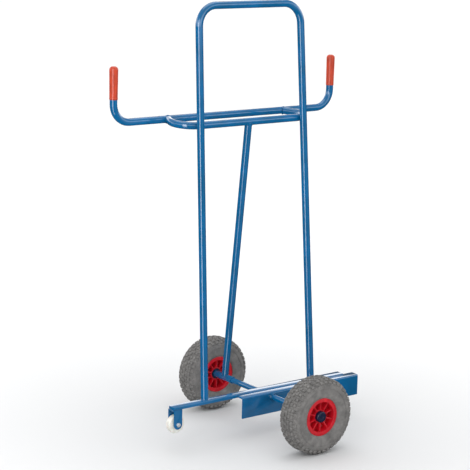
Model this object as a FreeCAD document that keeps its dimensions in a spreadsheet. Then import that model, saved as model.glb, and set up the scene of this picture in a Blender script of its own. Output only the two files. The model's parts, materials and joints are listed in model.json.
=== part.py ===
import FreeCAD, Part
import math
import os
import Sketcher

# Board trolley: a tubular hoop and handle standing on a rail with a folded load ledge, two
# large wheels on a through axle and a small fixed castor under the left end of the rail.
# X runs along the rail, which is the rolling direction, Y along the axle and Z up. The origin
# is on the floor, midway between the wheels and in the middle plane of the hoop.

V = FreeCAD.Vector
ROUND_X = V(1, 0, 0)
ROUND_Y = V(0, 1, 0)
ROUND_Z = V(0, 0, 1)

# sizes that a person would change, in millimetres
DRIVING = {
    "tube_dia": 25,
    "tube_wall": 2,
    "weld_gap": 0.3,
    "axle_x": 24,
    "axle_dia": 20,
    "wheel_dia": 260,
    "track": 575,
    "tyre_width": 81,
    "tyre_shoulder": 25,
    "tyre_bead": 7,
    "rim_dia": 128,
    "rim_width": 64,
    "rim_flange": 4,
    "barrel_dia": 110,
    "barrel_wall": 4,
    "rim_web": 4,
    "rib_thick": 3.6,
    "rib_recess": 7,
    "rib_count": 10,
    "hub_dia": 46,
    "hub_length": 40,
    "hub_bore": 32,
    "valve_hole": 15,
    "running_gap": 0.05,
    "press_gap": 0.1,
    "washer_dia": 37,
    "washer_thick": 2,
    "cap_dia": 38,
    "cap_length": 12,
    "cap_round": 4,
    "sleeve_dia": 25,
    "sleeve_length": 98,
    "seat_gap": 0.2,
    "rail_length": 730,
    "rail_width": 30,
    "rail_height": 10,
    "rail_middle": -14,
    "ledge_left": -106,
    "ledge_length": 512,
    "ledge_depth": 33,
    "ledge_drop": 73,
    "ledge_step": 2,
    "ledge_plate": 5,
    "hoop_height": 1450,
    "hoop_base_half": 229,
    "hoop_top_half": 211,
    "hoop_bend": 68,
    "hoop_foot_back": -12,
    "hoop_head_back": 90,
    "handle_back": 210,
    "handle_height": 1068,
    "handle_half": 458,
    "handle_bend": 62,
    "handle_rise": 177,
    "grip_dia": 29.6,
    "grip_foot_dia": 27.2,
    "grip_length": 108,
    "grip_end": 8,
    "grip_round": 11,
    "bow_height": 1060,
    "bow_half": 244,
    "bow_flare": 48,
    "bow_bend": 62,
    "stay_foot_back": 214,
    "castor_left": -350,
    "castor_height": 90,
    "castor_dia": 62,
    "castor_width": 22,
    "castor_round": 5,
    "fork_width": 32,
    "fork_span": 36,
    "fork_plate": 3,
    "bolt_dia": 8,
    "bolt_flats": 13,
    "bolt_head": 5.3,
    "nut_height": 6.5,
    "bush_dia": 12,
}

# sizes that follow from them
FOLLOWING = {
    "axle_height": "=wheel_dia / 2",
    "rail_base": "=axle_height + axle_dia / 2 + seat_gap",
    "rail_top": "=rail_base + rail_height",
    "rail_front": "=rail_middle - rail_width / 2",
    "foot_stock": "=rail_height * 0.8",
    "hoop_up": "=hoop_height - rail_top + foot_stock",
    "hoop_back": "=hoop_head_back - hoop_foot_back",
    "hoop_slope": "=sqrt(hoop_up ^ 2 + hoop_back ^ 2)",
    "hoop_inset": "=hoop_base_half - hoop_top_half",
    "hub_half": "=hub_length / 2",
    "rim_half": "=rim_width / 2",
    "wheel_back": "=track / 2",
    "washer_seat": "=hub_half + weld_gap",
    "sleeve_end": "=wheel_back - washer_seat - washer_thick - press_gap",
    "axle_half": "=wheel_back + washer_seat + washer_thick + cap_length - 3",
    "bow_back": "=hoop_foot_back + hoop_back * (bow_height - rail_top) / hoop_up"
                " + tube_dia * hoop_slope / hoop_up + weld_gap",
    "bow_reach": "=handle_back - bow_back",
    "bow_fall": "=handle_height - bow_height",
    "bow_slope": "=sqrt(bow_reach ^ 2 + bow_fall ^ 2)",
    "valve_place": "=(hub_dia + barrel_dia) / 4 - 1",
    "valve_side": "=valve_place * sin(180 / rib_count)",
    "valve_up": "=valve_place * cos(180 / rib_count)",
    "fork_base": "=rail_base - seat_gap",
    "fork_half": "=fork_width / 2",
}

os.makedirs("parts", exist_ok=True)
doc = FreeCAD.newDocument("BoardTrolley")
sheet = doc.addObject("Spreadsheet::Sheet", "Dims")

row = 1
for alias, value in list(DRIVING.items()) + list(FOLLOWING.items()):
    sheet.set("A%d" % row, alias)
    sheet.set("B%d" % row, str(value))
    sheet.setAlias("B%d" % row, alias)
    row += 1
doc.recompute()


def size(alias):
    return float(sheet.get(alias))


def bind(obj, **expressions):
    """Ties properties of an object to the sheet."""
    for prop, text in expressions.items():
        obj.setExpression(prop, text)


def at(obj, x="0", y="0", z="0"):
    """Moves an object to a point given by sheet expressions."""
    obj.setExpression("Placement.Base.x", x)
    obj.setExpression("Placement.Base.y", y)
    obj.setExpression("Placement.Base.z", z)
    return obj


def turned(obj, axis, angle):
    obj.Placement = FreeCAD.Placement(obj.Placement.Base, FreeCAD.Rotation(axis, angle))
    return obj


def rod(name, radius, length, x="0", y="0", z="0"):
    """Cylinder along +Y from the given point."""
    obj = doc.addObject("Part::Cylinder", name)
    bind(obj, Radius=radius, Height=length)
    turned(obj, ROUND_X, -90)
    return at(obj, x, y, z)


def block(name, length, width, height, x="0", y="0", z="0"):
    obj = doc.addObject("Part::Box", name)
    bind(obj, Length=length, Width=width, Height=height)
    return at(obj, x, y, z)


def cut(name, base, *tools):
    """Base minus one or more tools."""
    tool = tools[0]
    if len(tools) > 1:
        tool = doc.addObject("Part::MultiFuse", name + "Tools")
        tool.Shapes = list(tools)
    obj = doc.addObject("Part::Cut", name)
    obj.Base = base
    obj.Tool = tool
    return obj


def fuse(name, *shapes):
    obj = doc.addObject("Part::MultiFuse", name)
    obj.Shapes = list(shapes)
    return obj


finished = {}


def keep(obj, label):
    """A finished sub-part: its label is its file name."""
    obj.Label = label
    finished[label] = obj
    return obj


# ------------------------------------------------------------------ sketches and bent tubes
def origin_plane(body, role):
    for feature in body.Origin.OriginFeatures:
        if feature.Role == role:
            return feature


def new_sketch(body, name, role):
    sketch = body.newObject("Sketcher::SketchObject", name)
    sketch.AttachmentSupport = [(origin_plane(body, role), "")]
    sketch.MapMode = "FlatFace"
    return sketch


def tie(sketch, constraint, text):
    """Adds a dimension to a sketch and ties it to the sheet."""
    number = sketch.addConstraint(constraint)
    sketch.setExpression("Constraints[%d]" % number, text)


def add_circle(sketch, radius, text):
    circle = sketch.addGeometry(Part.Circle(V(0, 0, 0), ROUND_Z, radius), False)
    sketch.addConstraint(Sketcher.Constraint("Coincident", circle, 3, -1, 1))
    tie(sketch, Sketcher.Constraint("Radius", circle, radius), text)


def bent_tube(name, plane, span, rise, inset, bend):
    """Tube along a U: two straight runs, two tangent bends and a straight run between them.

    The path starts at the sketch origin, and its corners are (inset, rise) and
    (span - inset, rise). A negative rise gives a U that opens upwards. Each size is a pair of
    its value and its sheet expression.
    """
    body = doc.addObject("PartDesign::Body", name + "Body")
    path = new_sketch(body, name + "Path", plane)
    up = 1 if rise[0] > 0 else -1
    slope = math.atan2(abs(rise[0]), inset[0])
    setback = bend[0] * math.tan(slope / 2)
    lean = V(math.cos(slope), up * math.sin(slope), 0)
    corner = V(inset[0], rise[0], 0)
    left_end = corner - lean * setback
    top_left = corner + V(setback, 0, 0)
    top_right = V(span[0] - top_left.x, rise[0], 0)
    right_end = V(span[0] - left_end.x, left_end.y, 0)
    finish = V(span[0], 0, 0)
    centre_left = V(top_left.x, rise[0] - up * bend[0], 0)
    centre_right = V(top_right.x, centre_left.y, 0)
    quarter = math.pi / 2
    if up > 0:
        spans = ((quarter, quarter + slope), (quarter - slope, quarter))
    else:
        spans = ((3 * quarter - slope, 3 * quarter), (3 * quarter, 3 * quarter + slope))
    run_one = path.addGeometry(Part.LineSegment(V(0, 0, 0), left_end), False)
    arc_one = path.addGeometry(
        Part.ArcOfCircle(Part.Circle(centre_left, ROUND_Z, bend[0]), *spans[0]), False)
    run_two = path.addGeometry(Part.LineSegment(top_left, top_right), False)
    arc_two = path.addGeometry(
        Part.ArcOfCircle(Part.Circle(centre_right, ROUND_Z, bend[0]), *spans[1]), False)
    run_three = path.addGeometry(Part.LineSegment(right_end, finish), False)
    first, last = (2, 1) if up > 0 else (1, 2)
    path.addConstraint([
        Sketcher.Constraint("Coincident", run_one, 1, -1, 1),
        Sketcher.Constraint("Tangent", run_one, 2, arc_one, first),
        Sketcher.Constraint("Tangent", arc_one, last, run_two, 1),
        Sketcher.Constraint("Tangent", run_two, 2, arc_two, first),
        Sketcher.Constraint("Tangent", arc_two, last, run_three, 1),
        Sketcher.Constraint("Equal", arc_one, arc_two),
        Sketcher.Constraint("Equal", run_one, run_three),
        Sketcher.Constraint("Horizontal", run_two),
        Sketcher.Constraint("PointOnObject", run_three, 2, -1),
    ])
    tie(path, Sketcher.Constraint("Radius", arc_one, bend[0]), bend[1])
    tie(path, Sketcher.Constraint("DistanceX", -1, 1, run_three, 2, span[0]), span[1])
    tie(path, Sketcher.Constraint("DistanceY", -1, 1, run_two, 1, rise[0]), rise[1])
    if inset[0]:
        tie(path, Sketcher.Constraint("Angle", run_one, up * slope), inset[1])
    else:
        path.addConstraint(Sketcher.Constraint("Vertical", run_one))
    doc.recompute()

    section = body.newObject("Sketcher::SketchObject", name + "Section")
    section.AttachmentSupport = [(path, "Edge1")]
    section.MapMode = "NormalToEdge"
    section.MapPathParameter = 0
    doc.recompute()
    add_circle(section, size("tube_dia") / 2, "Dims.tube_dia / 2")
    add_circle(section, size("tube_dia") / 2 - size("tube_wall"),
               "Dims.tube_dia / 2 - Dims.tube_wall")
    doc.recompute()

    pipe = body.newObject("PartDesign::AdditivePipe", name + "Pipe")
    pipe.Profile = section
    pipe.Spine = (path, ["Edge%d" % (number + 1) for number in range(5)])
    body.Tip = pipe
    doc.recompute()
    return body


# ------------------------------------------------------------------ hoop
hoop_tube = bent_tube(
    "HoopTube", "XZ_Plane",
    (2 * size("hoop_base_half"), "2 * Dims.hoop_base_half"),
    (size("hoop_slope"), "Dims.hoop_slope"),
    (size("hoop_inset"), "atan(Dims.hoop_slope / Dims.hoop_inset)"),
    (size("hoop_bend"), "Dims.hoop_bend"))
turned(hoop_tube, ROUND_X, -math.degrees(math.atan2(size("hoop_back"), size("hoop_up"))))
at(hoop_tube, "-Dims.hoop_base_half", "Dims.hoop_foot_back", "Dims.rail_top - Dims.foot_stock")
# the feet are sawn level with the top of the rail
foot_saw = block("FootSaw", "3 * Dims.hoop_base_half", "200", "60",
                 "-1.5 * Dims.hoop_base_half", "Dims.hoop_foot_back - 100", "Dims.rail_top - 60")
keep(cut("Hoop", hoop_tube, foot_saw), "hoop")

# ------------------------------------------------------------------ handle bar and grips
handle = bent_tube(
    "HandleTube", "XZ_Plane",
    (2 * size("handle_half"), "2 * Dims.handle_half"),
    (-size("handle_rise"), "-Dims.handle_rise"),
    (0, ""),
    (size("handle_bend"), "Dims.handle_bend"))
at(handle, "-Dims.handle_half", "Dims.handle_back", "Dims.handle_height + Dims.handle_rise")
keep(handle, "handle_bar")

for side, sign in (("left", "-"), ("right", "")):
    body = doc.addObject("PartDesign::Body", "Grip" + side.title())
    outline = new_sketch(body, "GripOutline" + side.title(), "XY_Plane")
    add_circle(outline, size("grip_foot_dia") / 2, "Dims.grip_foot_dia / 2")
    skin = body.newObject("PartDesign::Pad", "GripSkin" + side.title())
    skin.Profile = outline
    bind(skin, Length="Dims.grip_length",
         TaperAngle="atan((Dims.grip_dia - Dims.grip_foot_dia) / (2 * Dims.grip_length))")
    doc.recompute()
    top_edges = []
    for number, edge in enumerate(skin.Shape.Edges, start=1):
        if edge.BoundBox.ZMin > size("grip_length") - 0.01:
            top_edges.append("Edge%d" % number)
    dome = body.newObject("PartDesign::Fillet", "GripDome" + side.title())
    dome.Base = (skin, top_edges)
    bind(dome, Radius="Dims.grip_round")
    bore_sketch = new_sketch(body, "GripBoreSketch" + side.title(), "XY_Plane")
    add_circle(bore_sketch, size("tube_dia") / 2 + 0.05, "Dims.tube_dia / 2 + Dims.running_gap")
    bore = body.newObject("PartDesign::Pocket", "GripBore" + side.title())
    bore.Profile = bore_sketch
    bore.Reversed = True
    bind(bore, Length="Dims.grip_length - Dims.grip_end")
    body.Tip = bore
    at(body, sign + "Dims.handle_half", "Dims.handle_back",
       "Dims.handle_height + Dims.handle_rise + Dims.grip_end - Dims.grip_length + Dims.weld_gap")
    doc.recompute()
    keep(body, "grip_" + side)

# ------------------------------------------------------------------ bow behind the hoop
bow_tube = bent_tube(
    "BowTube", "XY_Plane",
    (2 * size("bow_half"), "2 * Dims.bow_half"),
    (-size("bow_slope"), "-Dims.bow_slope"),
    (-size("bow_flare"), "-90 deg - atan(Dims.bow_flare / Dims.bow_slope)"),
    (size("bow_bend"), "Dims.bow_bend"))
turned(bow_tube, ROUND_X, math.degrees(math.atan2(size("bow_fall"), size("bow_reach"))))
at(bow_tube, "-Dims.bow_half", "Dims.handle_back", "Dims.handle_height")
handle_room = doc.addObject("Part::Cylinder", "HandleRoom")
bind(handle_room, Radius="Dims.tube_dia / 2 + Dims.weld_gap", Height="4 * Dims.bow_half")
turned(handle_room, ROUND_Y, 90)
at(handle_room, "-2 * Dims.bow_half", "Dims.handle_back", "Dims.handle_height")
keep(cut("Bow", bow_tube, handle_room), "bow")

# ------------------------------------------------------------------ stay
stay_top = V(0, size("bow_back"), size("bow_height"))
stay_foot = V(size("axle_x"), size("stay_foot_back"), size("axle_height"))
stay_line = stay_top - stay_foot
stay_place = FreeCAD.Placement(stay_foot, FreeCAD.Rotation(ROUND_Z, stay_line))
stay_outer = doc.addObject("Part::Cylinder", "StayOuter")
bind(stay_outer, Radius="Dims.tube_dia / 2")
stay_outer.Height = stay_line.Length
stay_outer.Placement = stay_place
stay_inner = doc.addObject("Part::Cylinder", "StayInner")
bind(stay_inner, Radius="Dims.tube_dia / 2 - Dims.tube_wall")
stay_inner.Height = stay_line.Length
stay_inner.Placement = stay_place
bow_room = doc.addObject("Part::Cylinder", "BowRoom")
bind(bow_room, Radius="Dims.tube_dia / 2 + Dims.weld_gap", Height="2 * Dims.bow_half")
turned(bow_room, ROUND_Y, 90)
at(bow_room, "-Dims.bow_half", "Dims.bow_back", "Dims.bow_height")
sleeve_room = rod("SleeveRoom", "Dims.sleeve_dia / 2 + Dims.weld_gap", "2 * Dims.sleeve_length",
                  "Dims.axle_x", "Dims.stay_foot_back - Dims.sleeve_length", "Dims.axle_height")
keep(cut("Stay", stay_outer, stay_inner, bow_room, sleeve_room), "stay")

# ------------------------------------------------------------------ rail and load ledge
rail_bar = block("RailBar", "Dims.rail_length", "Dims.rail_width", "Dims.rail_height",
                 "-Dims.rail_length / 2", "Dims.rail_front", "Dims.rail_base")
keep(rail_bar, "rail")

ledge = doc.addObject("PartDesign::Body", "LedgeBody")
profile = new_sketch(ledge, "LedgeProfile", "YZ_Plane")
depth = size("ledge_depth") - size("seat_gap")
drop = size("ledge_drop")
plate = size("ledge_plate")
corners = [V(0, 0, 0), V(-depth, 0, 0), V(-depth, -drop, 0), V(plate - depth, -drop, 0),
           V(plate - depth, -plate, 0), V(0, -plate, 0)]
sides = []
for number, corner in enumerate(corners):
    following = corners[(number + 1) % len(corners)]
    sides.append(profile.addGeometry(Part.LineSegment(corner, following), False))
for number, side in enumerate(sides):
    following = sides[(number + 1) % len(sides)]
    profile.addConstraint(Sketcher.Constraint("Coincident", side, 2, following, 1))
    profile.addConstraint(Sketcher.Constraint("Vertical" if number % 2 else "Horizontal", side))
profile.addConstraint(Sketcher.Constraint("Coincident", sides[0], 1, -1, 1))
tie(profile, Sketcher.Constraint("DistanceX", sides[0], 2, sides[0], 1, depth),
    "Dims.ledge_depth - Dims.seat_gap")
tie(profile, Sketcher.Constraint("DistanceY", sides[1], 2, sides[1], 1, drop), "Dims.ledge_drop")
tie(profile, Sketcher.Constraint("DistanceX", sides[2], 1, sides[2], 2, plate), "Dims.ledge_plate")
tie(profile, Sketcher.Constraint("DistanceY", sides[5], 1, sides[5], 2, plate), "Dims.ledge_plate")
folded = ledge.newObject("PartDesign::Pad", "LedgeLength")
folded.Profile = profile
bind(folded, Length="Dims.ledge_length")
doc.recompute()
bend_edges = []
for number, edge in enumerate(folded.Shape.Edges, start=1):
    box = edge.BoundBox
    if box.XLength > 1 and abs(box.YMin + depth) < 0.01 and abs(box.ZMax) < 0.01:
        bend_edges.append("Edge%d" % number)
outer_bend = ledge.newObject("PartDesign::Fillet", "LedgeBend")
outer_bend.Base = (folded, bend_edges)
bind(outer_bend, Radius="Dims.ledge_plate * 1.1")
ledge.Tip = outer_bend
at(ledge, "Dims.ledge_left", "Dims.rail_front - Dims.seat_gap", "Dims.rail_top - Dims.ledge_step")
doc.recompute()
# the axle passes through the flange
axle_room = rod("AxleRoom", "Dims.axle_dia / 2 + Dims.seat_gap", "2 * Dims.ledge_depth",
                "Dims.axle_x", "Dims.rail_front - 2 * Dims.ledge_depth", "Dims.axle_height")
keep(cut("Ledge", ledge, axle_room), "ledge")

# ------------------------------------------------------------------ axle, sleeves, washers, caps
keep(rod("Axle", "Dims.axle_dia / 2", "2 * Dims.axle_half",
         "Dims.axle_x", "-Dims.axle_half", "Dims.axle_height"), "axle")


def ring(name, outer, inner, length, x, y, z):
    """Round sleeve along +Y."""
    body = rod(name + "Outside", outer, length, x, y, z)
    hole = rod(name + "Inside", inner, length, x, y, z)
    return cut(name, body, hole)


AXLE_HOLE = "Dims.axle_dia / 2 + Dims.press_gap"
washers = []
for side, sign in (("near", "-"), ("far", "")):
    title = side.title()
    low = "-Dims.sleeve_end" if side == "near" else "Dims.sleeve_end - Dims.sleeve_length"
    keep(ring(title + "Sleeve", "Dims.sleeve_dia / 2", AXLE_HOLE, "Dims.sleeve_length",
              "Dims.axle_x", low, "Dims.axle_height"), side + "_sleeve")
    for place, offset in (("Outer", "+ Dims.washer_seat"),
                          ("Inner", "- Dims.washer_seat - Dims.washer_thick")):
        start = "Dims.wheel_back " + offset
        if side == "near":
            start = "-(" + start + ") - Dims.washer_thick"
        washers.append(ring(title + place + "Washer", "Dims.washer_dia / 2", AXLE_HOLE,
                            "Dims.washer_thick", "Dims.axle_x", start, "Dims.axle_height"))
    cap = doc.addObject("PartDesign::Body", title + "CapBody")
    cap_outline = new_sketch(cap, title + "CapOutline", "XY_Plane")
    add_circle(cap_outline, size("cap_dia") / 2, "Dims.cap_dia / 2")
    cap_pad = cap.newObject("PartDesign::Pad", title + "CapPad")
    cap_pad.Profile = cap_outline
    bind(cap_pad, Length="Dims.cap_length")
    doc.recompute()
    rim_edges = []
    for number, edge in enumerate(cap_pad.Shape.Edges, start=1):
        if edge.BoundBox.ZMin > size("cap_length") - 0.01:
            rim_edges.append("Edge%d" % number)
    cap_dome = cap.newObject("PartDesign::Fillet", title + "CapDome")
    cap_dome.Base = (cap_pad, rim_edges)
    bind(cap_dome, Radius="Dims.cap_round")
    cap_hole = new_sketch(cap, title + "CapHole", "XY_Plane")
    add_circle(cap_hole, size("axle_dia") / 2 + size("press_gap"), AXLE_HOLE)
    cap_bore = cap.newObject("PartDesign::Pocket", title + "CapBore")
    cap_bore.Profile = cap_hole
    cap_bore.Reversed = True
    bind(cap_bore, Length="Dims.cap_length - 2.8")
    cap.Tip = cap_bore
    turned(cap, ROUND_X, -90 if side == "far" else 90)
    at(cap, "Dims.axle_x",
       sign + "(Dims.wheel_back + Dims.washer_seat + Dims.washer_thick + Dims.press_gap)",
       "Dims.axle_height")
    doc.recompute()
    keep(cap, side + "_cap")

washer_group = doc.addObject("Part::Compound", "AxleWashers")
washer_group.Links = washers
keep(washer_group, "axle_washers")


# ------------------------------------------------------------------ wheels
def tyre(name):
    """Foam tyre about the local Y axis: rounded shoulders and a stepped seat for the rim."""
    body = doc.addObject("PartDesign::Body", name + "Body")
    outline = new_sketch(body, name + "Outline", "XZ_Plane")
    add_circle(outline, size("wheel_dia") / 2, "Dims.wheel_dia / 2")
    tread = body.newObject("PartDesign::Pad", name + "Tread")
    tread.Profile = outline
    tread.Midplane = True
    bind(tread, Length="Dims.tyre_width")
    doc.recompute()
    shoulder_edges = []
    for number, edge in enumerate(tread.Shape.Edges, start=1):
        if edge.BoundBox.YLength < 0.01:
            shoulder_edges.append("Edge%d" % number)
    shoulder = body.newObject("PartDesign::Fillet", name + "Shoulder")
    shoulder.Base = (tread, shoulder_edges)
    bind(shoulder, Radius="Dims.tyre_shoulder")
    body.Tip = shoulder
    doc.recompute()
    seat = rod(name + "Seat", "Dims.barrel_dia / 2 + Dims.press_gap", "2 * Dims.tyre_width",
               "0", "-Dims.tyre_width", "0")
    recesses = []
    for side, start in (("In", "-Dims.tyre_width"),
                        ("Out", "Dims.rim_half - Dims.rim_flange - Dims.press_gap")):
        recesses.append(rod(name + "Recess" + side, "Dims.rim_dia / 2 + Dims.press_gap",
                            "Dims.tyre_width - Dims.rim_half + Dims.rim_flange + Dims.press_gap",
                            "0", start, "0"))
    return cut(name, body, seat, *recesses)


def rim(name, valve_sign):
    """Half a moulded rim, from the wheel's middle plane outwards along local +Y."""
    barrel = rod(name + "Barrel", "Dims.barrel_dia / 2", "Dims.rim_half")
    flange = rod(name + "Flange", "Dims.rim_dia / 2", "Dims.rim_flange",
                 "0", "Dims.rim_half - Dims.rim_flange", "0")
    hollow = rod(name + "Hollow", "Dims.barrel_dia / 2 - Dims.barrel_wall", "Dims.rim_half")
    shell = cut(name + "Shell", fuse(name + "Drum", barrel, flange), hollow)
    web = rod(name + "Web", "Dims.barrel_dia / 2 - Dims.barrel_wall / 2", "Dims.rim_web")
    hub = rod(name + "Hub", "Dims.hub_dia / 2", "Dims.hub_half")
    pieces = [shell, web, hub]
    for number in range(int(size("rib_count"))):
        rib = block(name + "Rib%d" % number,
                    "(Dims.barrel_dia - Dims.barrel_wall) / 2", "Dims.rim_half - Dims.rib_recess",
                    "Dims.rib_thick")
        angle = 360 / size("rib_count") * number - 90
        across = FreeCAD.Rotation(ROUND_Y, angle)
        rib.setExpression("Placement.Base.x", None)
        rib.setExpression("Placement.Base.y", None)
        rib.setExpression("Placement.Base.z", None)
        rib.Placement = FreeCAD.Placement(across.multVec(V(0, 0, -size("rib_thick") / 2)), across)
        pieces.append(rib)
    solid = fuse(name + "Casting", *pieces)
    bore = rod(name + "Bore", "Dims.hub_bore / 2", "Dims.rim_width", "0", "-Dims.rim_half / 2", "0")
    valve = rod(name + "Valve", "Dims.valve_hole / 2", "Dims.rim_width",
                valve_sign + "Dims.valve_side", "-Dims.rim_half / 2", "Dims.valve_up")
    nose_room = rod(name + "NoseRoom", "Dims.hub_dia / 2", "Dims.rim_width", "0", "Dims.hub_half", "0")
    return cut(name, solid, bore, valve, nose_room)


for side, sign in (("near", "-"), ("far", "")):
    title = side.title()
    centre = sign + "Dims.wheel_back"
    keep(at(tyre(title + "Tyre"), "Dims.axle_x", centre, "Dims.axle_height"), side + "_tyre")
    for face in ("outer", "inner"):
        # the valve holes of the two halves face each other
        half = rim(title + "Rim" + face.title(), "" if face == "outer" else "-")
        if (side == "near") == (face == "outer"):
            turned(half, ROUND_Z, 180)
        keep(at(half, "Dims.axle_x", centre, "Dims.axle_height"), side + "_rim_" + face)
    keep(ring(title + "Bush", "Dims.hub_bore / 2 - Dims.press_gap",
              "Dims.axle_dia / 2 + Dims.running_gap", "Dims.hub_length",
              "Dims.axle_x", centre + " - Dims.hub_half", "Dims.axle_height"), side + "_bush")

# ------------------------------------------------------------------ castor
fork = doc.addObject("PartDesign::Body", "ForkBody")
cheek = new_sketch(fork, "ForkCheek", "XZ_Plane")
half = size("fork_half")
fork_top = size("fork_base") - size("castor_height")
left_side = cheek.addGeometry(Part.LineSegment(V(-half, fork_top, 0), V(-half, 0, 0)), False)
foot_arc = cheek.addGeometry(
    Part.ArcOfCircle(Part.Circle(V(0, 0, 0), ROUND_Z, half), math.pi, 2 * math.pi), False)
right_side = cheek.addGeometry(Part.LineSegment(V(half, 0, 0), V(half, fork_top, 0)), False)
top_side = cheek.addGeometry(Part.LineSegment(V(half, fork_top, 0), V(-half, fork_top, 0)), False)
cheek.addConstraint([
    Sketcher.Constraint("Tangent", left_side, 2, foot_arc, 1),
    Sketcher.Constraint("Tangent", foot_arc, 2, right_side, 1),
    Sketcher.Constraint("Coincident", right_side, 2, top_side, 1),
    Sketcher.Constraint("Coincident", top_side, 2, left_side, 1),
    Sketcher.Constraint("Vertical", left_side),
    Sketcher.Constraint("Horizontal", top_side),
    Sketcher.Constraint("Coincident", foot_arc, 3, -1, 1),
])
tie(cheek, Sketcher.Constraint("Radius", foot_arc, half), "Dims.fork_half")
tie(cheek, Sketcher.Constraint("DistanceY", -1, 1, top_side, 1, fork_top),
    "Dims.fork_base - Dims.castor_height")
cheeks = fork.newObject("PartDesign::Pad", "ForkCheeks")
cheeks.Profile = cheek
cheeks.Midplane = True
bind(cheeks, Length="Dims.fork_span")
fork.Tip = cheeks
at(fork, "Dims.castor_left", "Dims.rail_middle", "Dims.castor_height")
wheel_room = block("WheelRoom", "2 * Dims.fork_width", "Dims.fork_span - 2 * Dims.fork_plate",
                   "Dims.fork_base - Dims.castor_height - Dims.fork_plate + Dims.fork_width",
                   "Dims.castor_left - Dims.fork_width",
                   "Dims.rail_middle - Dims.fork_span / 2 + Dims.fork_plate",
                   "Dims.castor_height - Dims.fork_width")
fork_hole = rod("ForkHole", "Dims.bolt_dia / 2 + Dims.press_gap", "2 * Dims.fork_span",
                "Dims.castor_left", "Dims.rail_middle - Dims.fork_span", "Dims.castor_height")
keep(cut("Fork", fork, wheel_room, fork_hole), "castor_fork")

castor_bush = ring("CastorBush", "Dims.bush_dia / 2", "Dims.bolt_dia / 2 + Dims.press_gap",
                   "Dims.fork_span - 2 * Dims.fork_plate - 2 * Dims.press_gap", "Dims.castor_left",
                   "Dims.rail_middle - Dims.fork_span / 2 + Dims.fork_plate + Dims.press_gap",
                   "Dims.castor_height")
keep(castor_bush, "castor_bush")

shank = rod("BoltShank", "Dims.bolt_dia / 2", "Dims.fork_span + Dims.nut_height + 4",
            "Dims.castor_left", "Dims.rail_middle - Dims.fork_span / 2 - Dims.press_gap",
            "Dims.castor_height")


def hexagon(name, height, y):
    prism = doc.addObject("Part::Prism", name)
    prism.Polygon = 6
    bind(prism, Circumradius="Dims.bolt_flats / sqrt(3)", Height=height)
    turned(prism, ROUND_X, -90)
    return at(prism, "Dims.castor_left", y, "Dims.castor_height")


head = hexagon("BoltHead", "Dims.bolt_head",
               "Dims.rail_middle - Dims.fork_span / 2 - Dims.press_gap - Dims.bolt_head")
keep(fuse("CastorBolt", shank, head), "castor_bolt")
nut_block = hexagon("NutBlock", "Dims.nut_height",
                    "Dims.rail_middle + Dims.fork_span / 2 + Dims.press_gap")
nut_hole = rod("NutHole", "Dims.bolt_dia / 2 + Dims.press_gap", "Dims.fork_span",
               "Dims.castor_left", "Dims.rail_middle", "Dims.castor_height")
keep(cut("CastorNut", nut_block, nut_hole), "castor_nut")

castor_body = doc.addObject("PartDesign::Body", "CastorWheelBody")
castor_outline = new_sketch(castor_body, "CastorOutline", "XZ_Plane")
add_circle(castor_outline, size("castor_dia") / 2, "Dims.castor_dia / 2")
castor_pad = castor_body.newObject("PartDesign::Pad", "CastorPad")
castor_pad.Profile = castor_outline
castor_pad.Midplane = True
bind(castor_pad, Length="Dims.castor_width")
doc.recompute()
castor_edges = []
for number, edge in enumerate(castor_pad.Shape.Edges, start=1):
    if edge.BoundBox.YLength < 0.01:
        castor_edges.append("Edge%d" % number)
castor_soft = castor_body.newObject("PartDesign::Fillet", "CastorRound")
castor_soft.Base = (castor_pad, castor_edges)
bind(castor_soft, Radius="Dims.castor_round")
castor_body.Tip = castor_soft
at(castor_body, "Dims.castor_left", "Dims.rail_middle", "Dims.castor_height")
castor_bore = rod("CastorBore", "Dims.bush_dia / 2 + Dims.running_gap", "2 * Dims.castor_width",
                  "Dims.castor_left", "Dims.rail_middle - Dims.castor_width",
                  "Dims.castor_height")
keep(cut("CastorWheel", castor_body, castor_bore), "castor_wheel")

# ------------------------------------------------------------------ checks and export
doc.recompute()
for obj in doc.Objects:
    if "Invalid" in obj.State or "Error" in obj.State:
        raise RuntimeError("%s is not valid: %s" % (obj.Label, obj.State))
for label, obj in finished.items():
    if obj.Shape.isNull() or not obj.Shape.isValid():
        raise RuntimeError("%s has no valid shape" % label)
    obj.Shape.exportStep("parts/%s.step" % label)
    print(label, len(obj.Shape.Solids), "solids", round(obj.Shape.Volume / 1000, 1), "cm3")
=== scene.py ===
import json
import math
import bpy
from mathutils import Euler, Matrix, Vector

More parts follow.
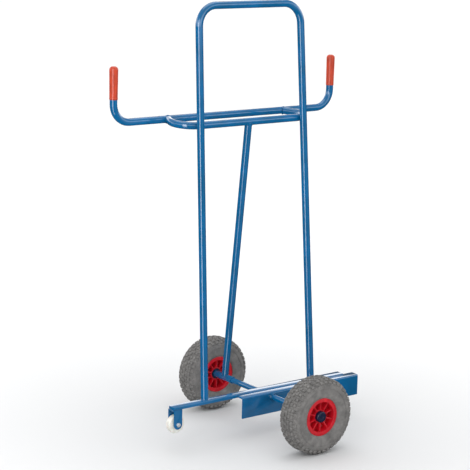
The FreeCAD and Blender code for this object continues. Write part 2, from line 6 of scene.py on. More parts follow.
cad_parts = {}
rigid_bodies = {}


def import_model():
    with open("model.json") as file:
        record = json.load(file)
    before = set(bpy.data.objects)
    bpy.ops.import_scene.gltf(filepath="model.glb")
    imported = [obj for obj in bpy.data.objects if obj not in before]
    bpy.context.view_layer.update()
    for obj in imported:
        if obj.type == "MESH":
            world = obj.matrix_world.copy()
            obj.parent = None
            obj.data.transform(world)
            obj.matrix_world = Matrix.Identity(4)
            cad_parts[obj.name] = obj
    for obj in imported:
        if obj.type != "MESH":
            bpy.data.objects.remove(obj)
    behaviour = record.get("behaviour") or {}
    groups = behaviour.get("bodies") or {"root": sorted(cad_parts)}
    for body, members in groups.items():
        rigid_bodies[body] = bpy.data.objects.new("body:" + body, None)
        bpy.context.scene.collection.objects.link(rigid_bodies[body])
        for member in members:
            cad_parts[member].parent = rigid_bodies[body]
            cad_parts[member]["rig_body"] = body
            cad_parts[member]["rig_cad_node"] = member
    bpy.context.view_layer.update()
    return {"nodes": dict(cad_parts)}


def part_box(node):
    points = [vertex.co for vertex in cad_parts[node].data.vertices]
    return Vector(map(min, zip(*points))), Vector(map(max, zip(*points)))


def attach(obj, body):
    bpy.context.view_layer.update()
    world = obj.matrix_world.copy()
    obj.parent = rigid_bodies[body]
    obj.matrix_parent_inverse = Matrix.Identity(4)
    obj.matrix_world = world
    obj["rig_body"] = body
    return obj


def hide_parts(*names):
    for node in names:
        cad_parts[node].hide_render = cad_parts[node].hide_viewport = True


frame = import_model()
nodes = frame["nodes"]
print("frame loaded:", len(nodes), "pieces")


def mm(value):
    return value / 1000


# what both wheels, the tubes and the joints share, read from the frame
def middleOf(node):
    low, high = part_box(node)
    return (low + high) / 2


def spanOf(node):
    low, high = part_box(node)
    return high - low


tubeRadius = spanOf("handle_bar").y / 2
wheelCentre = {"near": middleOf("near_tyre"), "far": middleOf("far_tyre")}
wheelRadius = spanOf("near_tyre").z / 2
tyreWidth = spanOf("near_tyre").y
rimRadius = spanOf("near_rim_outer").x / 2
outwards = {"near": -1, "far": 1}  # which way along Y a wheel's outer face looks


# small helpers for working by hand
def deselectAll():
    if bpy.context.object and bpy.context.object.mode == "EDIT":
        bpy.ops.object.mode_set(mode="OBJECT")
    bpy.ops.object.select_all(action="DESELECT")


def makeActive(obj):
    deselectAll()
    obj.select_set(True)
    bpy.context.view_layer.objects.active = obj


def newPiece(name):
    # names the primitive that was just added and settles its place into its mesh
    obj = bpy.context.object
    obj.name = name
    obj.data.name = name
    bpy.ops.object.transform_apply(location=True, rotation=True, scale=True)
    return obj


def editFaces(obj, wanted):
    # enters edit mode with only the faces that pass the test selected
    makeActive(obj)
    bpy.ops.object.mode_set(mode="EDIT")
    bpy.ops.mesh.select_mode(type="FACE")
    bpy.ops.mesh.select_all(action="DESELECT")
    bpy.ops.object.mode_set(mode="OBJECT")
    for face in obj.data.polygons:
        face.select = wanted(face)
    bpy.ops.object.mode_set(mode="EDIT")


def leaveEdit():
    bpy.ops.object.mode_set(mode="OBJECT")


def applyModifier(obj, kind, **settings):
    makeActive(obj)
    modifier = obj.modifiers.new(kind.title(), kind)
    for key, value in settings.items():
        setattr(modifier, key, value)
    bpy.ops.object.modifier_apply(modifier=modifier.name)


def tidyMesh(obj, angle=30):
    makeActive(obj)
    bpy.ops.object.mode_set(mode="EDIT")
    bpy.ops.mesh.select_all(action="SELECT")
    bpy.ops.mesh.remove_doubles(threshold=mm(0.01))
    bpy.ops.mesh.normals_make_consistent(inside=False)
    bpy.ops.object.mode_set(mode="OBJECT")
    bpy.ops.object.shade_smooth_by_angle(angle=math.radians(angle))


def joinAll(name, parts):
    deselectAll()
    for part in parts:
        part.select_set(True)
    bpy.context.view_layer.objects.active = parts[0]
    bpy.ops.object.join()
    parts[0].name = name
    parts[0].data.name = name
    return parts[0]


def copyTurned(obj, matrix):
    twin = obj.copy()
    twin.data = obj.data.copy()
    twin.data.transform(matrix)
    bpy.context.scene.collection.objects.link(twin)
    return twin


def aboutAxle(centre, degrees):
    turn = Matrix.Rotation(math.radians(degrees), 4, "Y")
    return Matrix.Translation(centre) @ turn @ Matrix.Translation(-centre)


def softCopy(node, name, bevel, angle=30, segments=2):
    # a CAD piece again, its corners broken as the real edge is
    obj = nodes[node].copy()
    obj.data = nodes[node].data.copy()
    obj.parent = None
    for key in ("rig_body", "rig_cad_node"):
        if key in obj:
            del obj[key]
    bpy.context.scene.collection.objects.link(obj)
    obj.name = name
    obj.data.name = name
    makeActive(obj)
    bpy.ops.object.mode_set(mode="EDIT")
    bpy.ops.mesh.select_all(action="SELECT")
    bpy.ops.mesh.remove_doubles(threshold=mm(0.01))
    bpy.ops.mesh.dissolve_limited(angle_limit=math.radians(0.5))
    bpy.ops.object.mode_set(mode="OBJECT")
    if obj.data.has_custom_normals:
        bpy.ops.mesh.customdata_custom_splitnormals_clear()
    if bevel:
        applyModifier(obj, "BEVEL", width=mm(bevel), segments=segments, limit_method="ANGLE",
                      angle_limit=math.radians(angle), use_clamp_overlap=True)
    bpy.ops.object.shade_smooth_by_angle(angle=math.radians(angle))
    return obj


def drawOut(obj, profile, axis, centre):
    # takes the selected end face through a list of (distance along the axis, radius)
    for (level, radius), (nextLevel, nextRadius) in zip(profile, profile[1:]):
        scale = nextRadius / radius
        bpy.ops.mesh.extrude_region()
        bpy.ops.transform.translate(value=[mm(nextLevel - level) * part for part in axis])
        bpy.ops.transform.resize(value=[1 if part else scale for part in axis],
                                 center_override=centre)
    leaveEdit()


def finishPiece(obj, body, material, *replaced):
    obj.data.materials.clear()
    obj.data.materials.append(material)
    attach(obj, body)
    if replaced:
        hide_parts(*replaced)


# materials
def hexColour(text):
    channels = [int(text[i:i + 2], 16) / 255 for i in (0, 2, 4)]
    linear = [c / 12.92 if c <= 0.04045 else ((c + 0.055) / 1.055) ** 2.4 for c in channels]
    return (*linear, 1.0)


def addNode(material, kind, settings=None, links=None):
    # settings go to the socket of that name or number, or else to the node itself
    tree = material.node_tree
    node = tree.nodes.new("ShaderNode" + kind)
    node.location = (-1200 + 180 * (len(tree.nodes) % 8), 300 - 120 * (len(tree.nodes) // 8))
    for key, value in (settings or {}).items():
        if isinstance(key, int) or key in node.inputs:
            node.inputs[key].default_value = value
        else:
            setattr(node, key, value)
    for key, source in (links or {}).items():
        tree.links.new(source, node.inputs[key])
    return node


def newMaterial(name, **shader):
    material = bpy.data.materials.new(name)
    material.use_nodes = True
    material.node_tree.nodes.clear()
    surface = addNode(material, "BsdfPrincipled", {key.replace("_", " "): value
                                                   for key, value in shader.items()})
    addNode(material, "OutputMaterial", links={"Surface": surface.outputs["BSDF"]})
    where = addNode(material, "TexCoord").outputs["Object"]
    return material, surface, where


def perMetre(size):
    # a noise pattern's scale for features of this size in millimetres
    return 1 / mm(size)


def plug(material, source, surface, socket):
    material.node_tree.links.new(source, surface.inputs[socket])


def ramp(material, factor, stops):
    node = addNode(material, "ValToRGB", links={"Fac": factor})
    elements = node.color_ramp.elements
    while len(elements) < len(stops):
        elements.new(0.5)
    for element, (position, colour) in zip(elements, stops):
        element.position = position
        element.color = hexColour(colour) if isinstance(colour, str) else (colour,) * 3 + (1,)
    return node.outputs["Color"]


# Polyester powder coat on steel tube, sprayed and stoved: deep blue, high gloss, with the
# faint ripple of orange peel and a slightly darker tone where the film runs thicker.
enamel = {"blue": "04669e", "deep": "045987", "ripple": 6.0, "patch": 70, "rough": 0.12}
blueEnamel, surface, where = newMaterial(
    "blue_powder_coat", Roughness=enamel["rough"], IOR=1.5, Coat_Weight=1.0,
    Coat_Roughness=0.04)
patches = addNode(blueEnamel, "TexNoise", {"Scale": perMetre(enamel["patch"]), "Detail": 3},
                  {"Vector": where})
plug(blueEnamel, ramp(blueEnamel, patches.outputs["Fac"],
                      [(0.3, enamel["deep"]), (0.7, enamel["blue"])]), surface, "Base Color")
peel = addNode(blueEnamel, "TexNoise", {"Scale": perMetre(enamel["ripple"]), "Detail": 1},
               {"Vector": where})
peelBump = addNode(blueEnamel, "Bump", {"Strength": 0.06, "Distance": mm(0.3)},
                   {"Height": peel.outputs["Fac"]})
plug(blueEnamel, peelBump.outputs["Normal"], surface, "Normal")
print("materials: powder coat")

# Dipped soft PVC, shiny from the mould, a warm red with fine lengthwise draw lines.
vinyl = {"red": "d94318", "shade": "a02c10", "line": 1.6, "rough": 0.34}
redVinyl, surface, where = newMaterial("red_dipped_vinyl", Roughness=vinyl["rough"], IOR=1.53,
                                       Coat_Weight=0.25, Coat_Roughness=0.15)
stretched = addNode(redVinyl, "Mapping", {"Scale": (1, 1, 0.06)}, {"Vector": where})
drawn = addNode(redVinyl, "TexNoise", {"Scale": perMetre(vinyl["line"]), "Detail": 2},
                {"Vector": stretched.outputs["Vector"]})
plug(redVinyl, ramp(redVinyl, drawn.outputs["Fac"], [(0.35, vinyl["shade"]), (0.65, vinyl["red"])]),
     surface, "Base Color")
drawnBump = addNode(redVinyl, "Bump", {"Strength": 0.12, "Distance": mm(0.3)},
                    {"Height": drawn.outputs["Fac"]})
plug(redVinyl, drawnBump.outputs["Normal"], surface, "Normal")

# Injection-moulded polypropylene, signal red, semi-gloss, slightly uneven where the melt met.
moulding = {"red": "d41427", "flow": "b81020", "grain": 1.2, "swirl": 40, "rough": 0.3}
redMoulding, surface, where = newMaterial("red_moulded_polypropylene", IOR=1.49,
                                          Roughness=moulding["rough"], Coat_Weight=0.2,
                                          Coat_Roughness=0.2)
swirls = addNode(redMoulding, "TexNoise", {"Scale": perMetre(moulding["swirl"]), "Detail": 3,
                                           "Distortion": 1.2}, {"Vector": where})
plug(redMoulding, ramp(redMoulding, swirls.outputs["Fac"],
                       [(0.35, moulding["flow"]), (0.65, moulding["red"])]), surface, "Base Color")
grain = addNode(redMoulding, "TexNoise", {"Scale": perMetre(moulding["grain"]), "Detail": 2},
                {"Vector": where})
grainBump = addNode(redMoulding, "Bump", {"Strength": 0.1, "Distance": mm(0.1)},
                    {"Height": grain.outputs["Fac"]})
plug(redMoulding, grainBump.outputs["Normal"], surface, "Normal")

# Closed-skin polyurethane foam, poured grey: matt, with pinholes and cloudy patches.
foam = {"light": "83817f", "dark": "605f5e", "cloud": 24, "pore": 2.4, "rough": 0.78,
        "poreDark": 0.42, "sideTop": 98, "treadFoot": 110}
greyFoam, surface, where = newMaterial("grey_polyurethane_foam", Roughness=foam["rough"], IOR=1.5,
                                       Specular_IOR_Level=0.35)
clouds = addNode(greyFoam, "TexNoise", {"Scale": perMetre(foam["cloud"]), "Detail": 6,
                                        "Roughness": 0.65}, {"Vector": where})
# the distance from the axle tells the open-pored tread from the smooth side
fromAxle = addNode(greyFoam, "VectorMath", {"operation": "SUBTRACT", 1: wheelCentre["near"]},
                   {0: where})
inPlane = addNode(greyFoam, "VectorMath", {"operation": "MULTIPLY", 1: (1, 0, 1)},
                  {0: fromAxle.outputs["Vector"]})
radius = addNode(greyFoam, "VectorMath", {"operation": "LENGTH"}, {0: inPlane.outputs["Vector"]})
treadShare = addNode(greyFoam, "MapRange", {"From Min": mm(foam["sideTop"]),
                                            "From Max": mm(foam["treadFoot"])},
                     {"Value": radius.outputs["Value"]})
pores = addNode(greyFoam, "TexVoronoi", {"Scale": perMetre(foam["pore"])}, {"Vector": where})
poreShade = addNode(greyFoam, "MapRange", {"From Min": 0.05, "From Max": 0.5,
                                           "To Min": foam["poreDark"] - 1, "To Max": 0.12},
                    {"Value": pores.outputs["Distance"]})
shade = addNode(greyFoam, "Math", {"operation": "MULTIPLY_ADD", 2: 1.0},
                {0: treadShare.outputs["Result"], 1: poreShade.outputs["Result"]})
cloudColour = ramp(greyFoam, clouds.outputs["Fac"], [(0.3, foam["dark"]), (0.7, foam["light"])])
foamColour = addNode(greyFoam, "VectorMath", {"operation": "SCALE"},
                     {0: cloudColour, "Scale": shade.outputs["Value"]})
plug(greyFoam, foamColour.outputs["Vector"], surface, "Base Color")
roughness = addNode(greyFoam, "Math", {"operation": "MULTIPLY_ADD", 1: 0.5, 2: 0.08},
                    {0: treadShare.outputs["Result"]})
foamBump = addNode(greyFoam, "Bump", {"Distance": mm(0.5)},
                   {"Height": pores.outputs["Distance"], "Strength": roughness.outputs["Value"]})
plug(greyFoam, foamBump.outputs["Normal"], surface, "Normal")

# Moulded nylon, natural white: satin, a little warm, faintly mottled.
nylon = {"white": "f0eee8", "warm": "dfdcd2", "mottle": 12, "rough": 0.38}
whiteNylon, surface, where = newMaterial("white_moulded_nylon", Roughness=nylon["rough"], IOR=1.53,
                                         Subsurface_Weight=0.1, Subsurface_Scale=mm(3))
mottle = addNode(whiteNylon, "TexNoise", {"Scale": perMetre(nylon["mottle"]), "Detail": 4},
                 {"Vector": where})
plug(whiteNylon, ramp(whiteNylon, mottle.outputs["Fac"],
                      [(0.35, nylon["warm"]), (0.65, nylon["white"])]), surface, "Base Color")
nylonBump = addNode(whiteNylon, "Bump", {"Strength": 0.05, "Distance": mm(0.2)},
                    {"Height": mottle.outputs["Fac"]})
plug(whiteNylon, nylonBump.outputs["Normal"], surface, "Normal")

# Moulded cap in navy polyethylene: near black-blue, glossy, a trace of mould texture.
cap = {"navy": "14213f", "dark": "0d1730", "grain": 2.0, "rough": 0.24}
navyCap, surface, where = newMaterial("navy_moulded_polyethylene", Roughness=cap["rough"], IOR=1.51)
capNoise = addNode(navyCap, "TexNoise", {"Scale": perMetre(cap["grain"]), "Detail": 3},
                   {"Vector": where})
plug(navyCap, ramp(navyCap, capNoise.outputs["Fac"], [(0.35, cap["dark"]), (0.65, cap["navy"])]),
     surface, "Base Color")
capBump = addNode(navyCap, "Bump", {"Strength": 0.08, "Distance": mm(0.2)},
                  {"Height": capNoise.outputs["Fac"]})
plug(navyCap, capBump.outputs["Normal"], surface, "Normal")

# Clear-passivated zinc plate on turned steel: pale, bluish, half dulled by its chalky film,
# with fine turning marks and duller patches.
zinc = {"bright": "eceff2", "dull": "cdd2d6", "mark": 0.8, "patch": 9, "metal": 0.5}
zincPlate, surface, where = newMaterial("passivated_zinc_plate", Metallic=zinc["metal"])
dull = addNode(zincPlate, "TexNoise", {"Scale": perMetre(zinc["patch"]), "Detail": 5},
               {"Vector": where})
plug(zincPlate, ramp(zincPlate, dull.outputs["Fac"], [(0.3, zinc["dull"]), (0.7, zinc["bright"])]),
     surface, "Base Color")
plug(zincPlate, ramp(zincPlate, dull.outputs["Fac"], [(0.3, 0.42), (0.7, 0.22)]), surface,
     "Roughness")
marks = addNode(zincPlate, "TexNoise", {"Scale": perMetre(zinc["mark"]), "Detail": 1},
                {"Vector": where})
markBump = addNode(zincPlate, "Bump", {"Strength": 0.08, "Distance": mm(0.1)},
                   {"Height": marks.outputs["Fac"]})
plug(zincPlate, markBump.outputs["Normal"], surface, "Normal")
print("materials: plastics, foam and zinc")


# tyres: a poured foam carcass with small blocks all round
tyre = {
    "blockHeight": 4.8,
    "pitchCount": 40,
    "crownRows": (-14, 0, 14),  # across the tread
    "shoulderRows": (22, 47),  # degrees down the shoulder
    "blockWidth": 10.4,
    "blockLength": 11.6,
    "blockRoot": 1.0,  # how far a block is rooted in the carcass
    "blockTop": (0.78, 0.8, 1),  # how far a block's top is drawn in
    "blockEdge": 0.9,
    "shoulderRound": 26,
    "shoulderSteps": 9,
    "facets": 160,
    # a thin moulded line, as (below the shoulder, in from the side)
    "sideLine": ((0.8, 0.9), (2.0, 0), (2.8, 0.9)),
    # the slope down to the rim, as (above the rim, in from the side)
    "sideSlope": ((14, 1.6), (6, 3.4), (1.6, 6.2), (0.3, 9)),
}


def carcassRings():
    # (radius, half width) from the crown over the shoulder and down the side to the rim
    crown = wheelRadius - mm(tyre["blockHeight"])
    half = tyreWidth / 2
    round_ = mm(tyre["shoulderRound"])
    rings = []
    for step in range(tyre["shoulderSteps"] + 1):
        angle = math.pi / 2 * step / tyre["shoulderSteps"]
        rings.append((crown - round_ + round_ * math.cos(angle),
                      half - round_ + round_ * math.sin(angle)))
    side = rings[-1][0]
    for drop, inset in tyre["sideLine"]:
        rings.append((side - mm(drop), half - mm(inset)))
    for rise, inset in tyre["sideSlope"]:
        rings.append((rimRadius + mm(rise), half - mm(inset)))
    return rings


def makeCarcass(name, centre):
    rings = carcassRings()
    deselectAll()
    bpy.ops.mesh.primitive_cylinder_add(
        vertices=tyre["facets"], radius=rings[0][0], depth=2 * rings[0][1], end_fill_type="NGON",
        location=centre, rotation=(math.radians(90), 0, 0))
    obj = newPiece(name)
    editFaces(obj, lambda face: abs(face.normal.y) > 0.9)
    for (radius, half), (nextRadius, nextHalf) in zip(rings, rings[1:]):
        bpy.ops.mesh.extrude_region()
        scale = nextRadius / radius
        bpy.ops.transform.resize(value=(scale, nextHalf / half, scale), center_override=centre)
    bpy.ops.mesh.delete(type="FACE")
    bpy.ops.mesh.select_mode(type="EDGE")
    bpy.ops.mesh.select_all(action="DESELECT")
    bpy.ops.mesh.select_non_manifold()
    bpy.ops.mesh.bridge_edge_loops()  # the seat on the rim, out of sight
    leaveEdit()
    return obj


def makeBlock(name, centre, along, across, lean):
    # one tread block: a cube whose top is drawn in and whose edges are broken
    deselectAll()
    height = mm(tyre["blockHeight"])
    root = mm(tyre["blockRoot"])
    bpy.ops.mesh.primitive_cube_add(size=1, location=(0, 0, (height - root) / 2))
    obj = bpy.context.object
    obj.scale = (mm(tyre["blockLength"]), mm(tyre["blockWidth"]), height + root)
    obj = newPiece(name)
    editFaces(obj, lambda face: face.normal.z > 0.9)
    bpy.ops.transform.resize(value=tyre["blockTop"])
    leaveEdit()
    applyModifier(obj, "BEVEL", width=mm(tyre["blockEdge"]), segments=2, limit_method="ANGLE",
                  angle_limit=math.radians(40))
    # along the tread, then out to the shoulder's own centre and over it by the lean
    round_ = mm(tyre["shoulderRound"])
    seat = wheelRadius - height - round_
    turn = Matrix.Rotation(along, 4, "Y")
    out = Matrix.Translation((0, across, seat))
    over = Matrix.Rotation(-lean, 4, "X")
    obj.data.transform(Matrix.Translation(centre) @ turn @ out @ over @ Matrix.Translation((0, 0, round_)))
    return obj


def makeTyre(side):
    centre = wheelCentre[side]
    carcass = makeCarcass(side + "_tyre_foam", centre)
    pitch = 2 * math.pi / tyre["pitchCount"]
    shoulderCentre = tyreWidth / 2 - mm(tyre["shoulderRound"])
    rows = [(mm(across), 0) for across in tyre["crownRows"]]
    for degrees in tyre["shoulderRows"]:
        for way in (-1, 1):
            rows.append((way * shoulderCentre, way * math.radians(degrees)))
    rows.sort(key=lambda row: row[0] + row[1])
    blocks = []
    for number, (across, lean) in enumerate(rows):
        stagger = 0 if number % 3 else pitch / 2
        blocks.append(makeBlock("block", centre, stagger, across, lean))
    onePitch = joinAll("pitch", blocks)
    pitches = [onePitch]
    for number in range(1, tyre["pitchCount"]):
        pitches.append(copyTurned(onePitch, aboutAxle(centre, 360 * number / tyre["pitchCount"])))
    whole = joinAll(side + "_tyre_foam", [carcass] + pitches)
    tidyMesh(whole, 35)
    finishPiece(whole, side + "_wheel", greyFoam, side + "_tyre")
    return whole


for side in ("near", "far"):
    makeTyre(side)
print("tyres made")


# grips: dipped sleeves with a rolled lip below and a domed end
grip = {"lipRadius": 14.3, "lipHeight": 5, "footRadius": 13.6, "headRadius": 14.6, "dome": 11,
        "domeSteps": 6, "facets": 72}


def makeGrip(side):
    low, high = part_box("grip_" + side)
    middle = (low + high) / 2
    height = (high.z - low.z) * 1000
    lip = grip["lipHeight"]
    profile = [(0.3, 13.3), (0.9, grip["lipRadius"] - 0.3), (lip * 0.5, grip["lipRadius"]),
               (lip, grip["footRadius"] + 0.2), (lip * 1.4, grip["footRadius"])]
    shoulder = height - grip["dome"]
    for step in range(grip["domeSteps"] + 1):
        angle = math.pi / 2 * step / grip["domeSteps"]
        profile.append((shoulder + grip["dome"] * math.sin(angle),
                        grip["headRadius"] - grip["dome"] + grip["dome"] * math.cos(angle)))
    start = profile[0]
    deselectAll()
    bpy.ops.mesh.primitive_cylinder_add(
        vertices=grip["facets"], radius=mm(start[1]), depth=mm(start[0]), end_fill_type="NGON",
        location=(middle.x, middle.y, low.z + mm(start[0]) / 2))
    obj = newPiece("grip_" + side + "_vinyl")
    editFaces(obj, lambda face: face.normal.z > 0.9)
    drawOut(obj, profile, (0, 0, 1), middle)
    tidyMesh(obj, 40)
    finishPiece(obj, "frame", redVinyl, "grip_" + side)


for side in ("left", "right"):
    makeGrip(side)
print("grips made")


# axle caps: moulded, with a round shoulder and a shallow dimple in the end
axleCap = {"skirt": 1, "shoulder": 4.5, "shoulderSteps": 5, "dimpleRadius": 8,
           "dimpleDepth": 1.6, "facets": 64}


def makeCap(side):
    way = outwards[side]
    middle, span = middleOf(side + "_cap"), spanOf(side + "_cap")
    length, radius = span.y * 1000, span.x * 500
    shoulder = axleCap["shoulder"]
    skirt = axleCap["skirt"]
    profile = [(skirt, radius)]
    for step in range(axleCap["shoulderSteps"] + 1):
        angle = math.pi / 2 * step / axleCap["shoulderSteps"]
        profile.append((length - shoulder + shoulder * math.sin(angle),
                        radius - shoulder + shoulder * math.cos(angle)))
    profile.append((length, axleCap["dimpleRadius"]))
    profile.append((length - axleCap["dimpleDepth"] * 0.8, axleCap["dimpleRadius"] - 1.4))
    profile.append((length - axleCap["dimpleDepth"], axleCap["dimpleRadius"] - 4))
    deselectAll()
    seat = middle.y - way * span.y / 2
    bpy.ops.mesh.primitive_cylinder_add(
        vertices=axleCap["facets"], radius=mm(radius), depth=mm(skirt), end_fill_type="NGON",
        location=(middle.x, seat + way * mm(skirt) / 2, middle.z), rotation=(math.radians(90), 0, 0))
    obj = newPiece(side + "_cap_moulded")
    editFaces(obj, lambda face: face.normal.y * way > 0.9)
    drawOut(obj, profile, (0, way, 0), middle)
    tidyMesh(obj, 35)
    finishPiece(obj, "frame", navyCap, side + "_cap")


for side in ("near", "far"):
    makeCap(side)
print("caps made")


# weld beads, painted over: rings round the tube ends and short runs in the corners
weld = {
    "thick": 1.9,
    "unevenness": 0.9,
    "grain": 3.2,
    "hoopFoot": (229, -12, 150.6),
    "bowEnd": (248.8, 197.5, 1067.2),
    "bowEndAxis": (0.355, -0.932, -0.06),
    "bowCrossing": (216.5, 71.6, 1060),
    "crossingRadius": 5,
    "stayTop": (0.3, 85.6, 1047.6),
    "stayFoot": (23.7, 212.3, 142.5),
    "stayAxis": (-0.026, -0.138, 0.99),
    "axleInFlange": (24, -62.4, 130),
    "ledgeStitches": (-70, 60, 190, 320),
    "stitchLength": 36,
    "stitchCorner": (-30.2, 142),  # y and z of the corner under the ledge, in front of the rail
    "forkCorners": (-367.2, -332.8),
    "forkSeat": (-27, -1, 139.4),  # from y, to y and z of the runs on the fork
}
unevenness = bpy.data.textures.new("bead_unevenness", "CLOUDS")
unevenness.noise_scale = mm(weld["grain"])


def finishBead(obj):
    applyModifier(obj, "DISPLACE", texture=unevenness, strength=mm(weld["unevenness"]),
                  mid_level=0.5, texture_coords="LOCAL")
    tidyMesh(obj, 60)
    finishPiece(obj, "frame", blueEnamel)


def weldRing(name, place, axis, radius, saddle=None):
    # a ring about an axis; a saddle is the direction of the tube that it sits on
    deselectAll()
    bpy.ops.mesh.primitive_torus_add(major_segments=72, minor_segments=10, location=(0, 0, 0),
                                     major_radius=mm(radius), minor_radius=mm(weld["thick"]))
    obj = newPiece(name)
    axis = Vector(axis).normalized()
    centre = Vector([mm(value) for value in place])
    obj.data.transform(Matrix.Translation(centre) @ axis.to_track_quat("Z", "Y").to_matrix().to_4x4())
    if saddle:
        sideways = axis.cross(Vector(saddle)).normalized()
        for vertex in obj.data.vertices:
            reach = min(abs((vertex.co - centre).dot(sideways)), tubeRadius * 0.98)
            vertex.co -= axis * (tubeRadius - math.sqrt(tubeRadius ** 2 - reach ** 2))
    finishBead(obj)


def weldRun(name, start, end):
    deselectAll()
    start = Vector([mm(value) for value in start])
    end = Vector([mm(value) for value in end])
    along = end - start
    bpy.ops.mesh.primitive_uv_sphere_add(segments=24, ring_count=32, radius=mm(weld["thick"]),
                                         location=(0, 0, 0))
    obj = newPiece(name)
    # half of the sphere is drawn out to the far end of the run
    editFaces(obj, lambda face: face.center.z > 0)
    bpy.ops.transform.translate(value=(0, 0, along.length))
    leaveEdit()
    applyModifier(obj, "REMESH", mode="VOXEL", voxel_size=mm(weld["thick"] / 4))
    obj.data.transform(Matrix.Translation(start) @ along.to_track_quat("Z", "Y").to_matrix().to_4x4())
    finishBead(obj)


ringRadius = tubeRadius * 1000 + 0.7
alongBar = (1, 0, 0)
alongAxle = (0, 1, 0)
for side, way in (("left", -1), ("right", 1)):
    x, y, z = weld["hoopFoot"]
    weldRing("weld_hoop_foot_" + side, (way * x, y, z), (0, 0, 1), ringRadius)
    x, y, z = weld["bowEnd"]
    axis = (way * weld["bowEndAxis"][0], *weld["bowEndAxis"][1:])
    weldRing("weld_bow_end_" + side, (way * x, y, z), axis, ringRadius, alongBar)
    x, y, z = weld["bowCrossing"]
    weldRing("weld_bow_on_hoop_" + side, (way * x, y, z), alongAxle, weld["crossingRadius"])
stayDown = [-value for value in weld["stayAxis"]]
weldRing("weld_stay_top", weld["stayTop"], stayDown, ringRadius, alongBar)
weldRing("weld_stay_foot", weld["stayFoot"], weld["stayAxis"], ringRadius, alongAxle)
weldRing("weld_axle_in_flange", weld["axleInFlange"], alongAxle, spanOf("axle").x * 500 + 1.4)
corner = weld["stitchCorner"]
for number, x in enumerate(weld["ledgeStitches"], start=1):
    weldRun("weld_ledge_stitch_%d" % number, (x, *corner), (x + weld["stitchLength"], *corner))
for number, x in enumerate(weld["forkCorners"], start=1):
    start, end, z = weld["forkSeat"]
    weldRun("weld_fork_%d" % number, (x, start, z), (x, end, z))
print("welds made")


# carried-over pieces with their edges broken
edges = {
    "near_rim_outer": (0.9, redMoulding, "near_wheel"),
    "near_rim_inner": (0.9, redMoulding, "near_wheel"),
    "far_rim_outer": (0.9, redMoulding, "far_wheel"),
    "far_rim_inner": (0.9, redMoulding, "far_wheel"),
    "rail": (0.8, blueEnamel, "frame"),
    "ledge": (0.7, blueEnamel, "frame"),
    "castor_fork": (0.6, blueEnamel, "frame"),
    "castor_bolt": (0.5, zincPlate, "frame"),
    "castor_nut": (0.5, zincPlate, "frame"),
}
for node, (bevel, material, body) in edges.items():
    piece = softCopy(node, node + "_soft", bevel)
    finishPiece(piece, body, material, node)

plainMaterials = {
    "hoop": blueEnamel, "handle_bar": blueEnamel, "bow": blueEnamel, "stay": blueEnamel,
    "near_sleeve": blueEnamel, "far_sleeve": blueEnamel, "axle": blueEnamel,
    "axle_washers": navyCap, "near_bush": zincPlate, "far_bush": zincPlate,
    "castor_bush": zincPlate, "castor_wheel": whiteNylon,
}
for node, material in plainMaterials.items():
    nodes[node].data.materials[0] = material
print("frame pieces finished")


# floor, light and camera
stage = {
    "floorSize": 60,
    # the floor's grey near the truck is a painted shadow, not the floor's own colour
    "floorPaintedShadow": "d6d7d8",
    "floorFar": "fefefe",
    "paintedShadowFrom": 0.3,  # metres from the truck where the painted shadow on the floor starts to fade
    "paintedShadowTo": 2.2,
    "ambient": 1.08,  # what the floor, the background and matt surfaces see
    "lowShine": 0.03,  # what a glossy surface mirrors from below the horizon
    "highShine": 1.9,  # from the bright backdrop just above it
    "skyShine": 0.18,  # the share of that left overhead
    "horizon": (0.02, 0.14),
    "backdropTop": (0.26, 0.45),
}
deselectAll()
bpy.ops.mesh.primitive_plane_add(size=stage["floorSize"], location=(0, 0, 0))
floor = newPiece("floor")
# painted shadow: the floor is grey round the truck and fades to plain white further out
floorPaint, surface, where = newMaterial("pale_floor", Roughness=0.9)
reach = addNode(floorPaint, "VectorMath", {"operation": "LENGTH"}, {0: where})
paintedShadowMask = addNode(floorPaint, "MapRange", {"From Min": stage["paintedShadowFrom"], "From Max": stage["paintedShadowTo"]},
                {"Value": reach.outputs["Value"]})
plug(floorPaint, ramp(floorPaint, paintedShadowMask.outputs["Result"],
                      [(0, stage["floorPaintedShadow"]), (1, stage["floorFar"])]), surface, "Base Color")
floor.data.materials.append(floorPaint)
floor.visible_glossy = False

world = bpy.data.worlds.new("studio")
world.use_nodes = True
bpy.context.scene.world = world
world.node_tree.nodes.clear()
skyward = addNode(world, "SeparateXYZ",
                  links={"Vector": addNode(world, "TexCoord").outputs["Generated"]})
mirrored = addNode(world, "MapRange", {"From Min": stage["horizon"][0], "From Max": stage["horizon"][1],
                                       "To Min": stage["lowShine"], "To Max": stage["highShine"]},
                   {"Value": skyward.outputs["Z"]})
fading = addNode(world, "MapRange", {"From Min": stage["backdropTop"][0],
                                     "From Max": stage["backdropTop"][1],
                                     "To Min": 1.0, "To Max": stage["skyShine"]},
                 {"Value": skyward.outputs["Z"]})
backdrop = addNode(world, "Math", {"operation": "MULTIPLY"},
                   {0: mirrored.outputs["Result"], 1: fading.outputs["Result"]})
change = addNode(world, "Math", {"operation": "SUBTRACT", 1: stage["ambient"]},
                 {0: backdrop.outputs["Value"]})
glossy = addNode(world, "LightPath").outputs["Is Glossy Ray"]
strength = addNode(world, "Math", {"operation": "MULTIPLY_ADD", 2: stage["ambient"]},
                   {0: glossy, 1: change.outputs["Value"]})
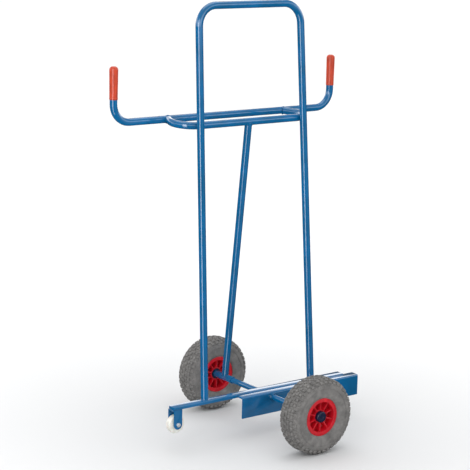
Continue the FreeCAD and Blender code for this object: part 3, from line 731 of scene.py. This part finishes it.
shine = addNode(world, "Background", {"Color": (1, 1, 1, 1)}, {"Strength": strength.outputs["Value"]})
addNode(world, "OutputWorld", links={"Surface": shine.outputs["Background"]})


# the two panels light the truck; the two tall screens are seen by the gloss alone and draw
# the lengthwise glints on the tubes
panels = {
    "key_panel": {"place": (-2.7, -1.5, 1.5), "aim": (0, 0, 0.7), "size": (0.8, 3.0),
                  "power": 16, "lights": True},
    "glint_screen": {"place": (-3.5, -2.0, 0.3), "aim": (0, 0, 0.3), "size": (1.6, 6.0),
                     "power": 110, "lights": False},
    "front_screen": {"place": (1.2, -2.75, 0.4), "aim": (0, 0, 0.4), "size": (1.7, 5.0),
                     "power": 6, "lights": False},
    "top_panel": {"place": (0.3, 0.6, 3.6), "aim": (0, 0, 0.4), "size": (2.6, 2.6),
                  "power": 26, "lights": True},
}


def addPanel(name, place, aim, size, power, lights):
    panel = bpy.data.lights.new(name, "AREA")
    panel.shape = "RECTANGLE"
    panel.size, panel.size_y = size
    panel.energy = power
    lamp = bpy.data.objects.new(name, panel)
    lamp.location = place
    lamp.rotation_euler = (Vector(aim) - Vector(place)).to_track_quat("-Z", "Y").to_euler()
    lamp.visible_diffuse = lights
    bpy.context.scene.collection.objects.link(lamp)


for name, panel in panels.items():
    addPanel(name, **panel)

camera = {
    "place": (-3.35793, -4.2574, 1.83742),
    "heading": 37.34,  # degrees to the right of +Y
    "tilt": 12.01,  # degrees below level
    "roll": 1.43,
    "lens": 126.34,
}
lens = bpy.data.cameras.new("camera")
lens.sensor_width = 36
lens.lens = camera["lens"]
lens.clip_end = 200
cameraObject = bpy.data.objects.new("camera", lens)
cameraObject.location = camera["place"]
aim = Euler((math.radians(90 - camera["tilt"]), 0, -math.radians(camera["heading"]))).to_matrix()
cameraObject.rotation_euler = (aim @ Matrix.Rotation(math.radians(camera["roll"]), 3, "Z")).to_euler()
bpy.context.scene.collection.objects.link(cameraObject)
bpy.context.scene.camera = cameraObject
bpy.context.scene.view_settings.view_transform = "Standard"
print("floor, light and camera set")
